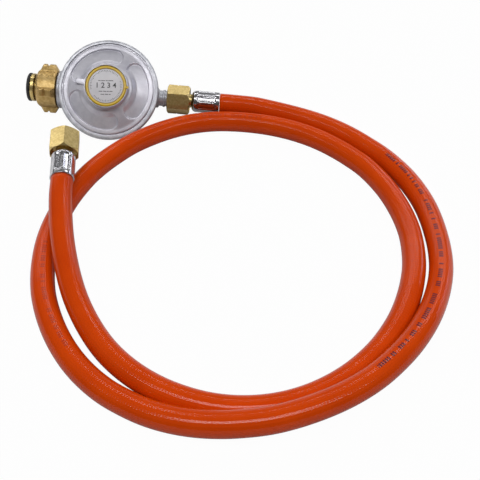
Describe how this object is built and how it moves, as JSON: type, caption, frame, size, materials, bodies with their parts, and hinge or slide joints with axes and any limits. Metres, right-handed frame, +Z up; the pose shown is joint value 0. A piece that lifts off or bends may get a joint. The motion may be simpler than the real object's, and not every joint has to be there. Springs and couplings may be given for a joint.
{
  "type": "propane regulator hose",
  "caption": "Low-pressure gas regulator with a round housing, a brass hand nut for the bottle, and a coiled orange hose with union nuts and crimped ferrules.",
  "frame": {"origin": "on the table under the middle of the regulator's box, from the bottle seal to the outlet union nut", "axes": "+X along the gas pipe toward the hose outlet, seen from above, +Y away from the hose coil, +Z up"},
  "size_m": [0.2705, 0.2657, 0.0432],
  "materials": {
    "cast_zinc": "satin bare zinc casting",
    "silver_cover": "satin silver",
    "yellow_plastic": "satin",
    "pale_label": "matte",
    "white_plastic": "matte",
    "steel": "plated",
    "polished_steel": "bright pressed steel",
    "brass": "machined",
    "black_rubber": "matte",
    "hose_rubber": "smooth satin"
  },
  "bodies": {
    "regulator": {"lower_body": "cast_zinc", "cover": "silver_cover", "yellow_cap": "yellow_plastic", "label_plate": "pale_label", "adjusting_screw": "white_plastic", "main_spring": "steel", "diaphragm": "black_rubber", "lever_pin": "steel", "inlet_nozzle": "brass", "inlet_nipple": "brass", "nipple_gasket": "black_rubber", "inlet_filter": "steel", "bottle_seal": "black_rubber", "outlet_hose_tail": "brass", "outlet_ferrule": "polished_steel", "hose": "hose_rubber", "end_ferrule": "polished_steel", "end_hose_tail": "brass"},
    "slip_washer": {"slip_washer": "steel"},
    "hand_nut": {"hand_nut": "brass"},
    "outlet_union_nut": {"outlet_union_nut": "brass"},
    "end_union_nut": {"end_union_nut": "brass"},
    "diaphragm_assembly": {"upper_diaphragm_plate": "steel", "lower_diaphragm_plate": "steel", "diaphragm_stem": "brass"},
    "lever": {"lever": "steel"},
    "inlet_valve": {"valve_carrier": "brass", "valve_pad": "black_rubber"}
  },
  "joints": [
    {"name": "hand_nut_slip", "type": "slide", "parent": "regulator", "child": "slip_washer", "axis": [-0.9973, 0, 0.0732], "range_m": [0, 0.0098]},
    {"name": "hand_nut_spin", "type": "hinge", "parent": "slip_washer", "child": "hand_nut", "pos_m": [-0.04174, 0.00659, 0.01635], "axis": [-0.9973, 0, 0.0732], "continuous": true},
    {"name": "outlet_nut_spin", "type": "hinge", "parent": "regulator", "child": "outlet_union_nut", "pos_m": [0.04662, 0.00659, 0.00986], "axis": [-0.9973, 0, 0.0732], "continuous": true},
    {"name": "end_nut_spin", "type": "hinge", "parent": "regulator", "child": "end_union_nut", "pos_m": [-0.01575, -0.05901, 0.02653], "axis": [-0.1121, 0.9839, 0.1392], "continuous": true},
    {"name": "diaphragm_travel", "type": "slide", "parent": "regulator", "child": "diaphragm_assembly", "axis": [0.0574, -0.6217, 0.7811], "range_m": [-0.0015, 0.0015], "stiffness_N_per_m": 1000, "deforming": ["main_spring", "diaphragm"]},
    {"name": "lever_pivot", "type": "hinge", "parent": "regulator", "child": "lever", "pos_m": [-0.01178, 0.00833, 0.01195], "axis": [-0.0455, -0.7832, -0.6201], "range_deg": [-7.5, 7.5]},
    {"name": "valve_travel", "type": "slide", "parent": "regulator", "child": "inlet_valve", "axis": [-0.9973, 0, 0.0732], "range_m": [-0.0004, 0.0004]}
  ],
  "couplings": [
    {"joint": "lever_pivot", "follows": "diaphragm_travel", "rad_per_m": 83.333},
    {"joint": "valve_travel", "follows": "diaphragm_travel", "ratio": 0.25}
  ]
}
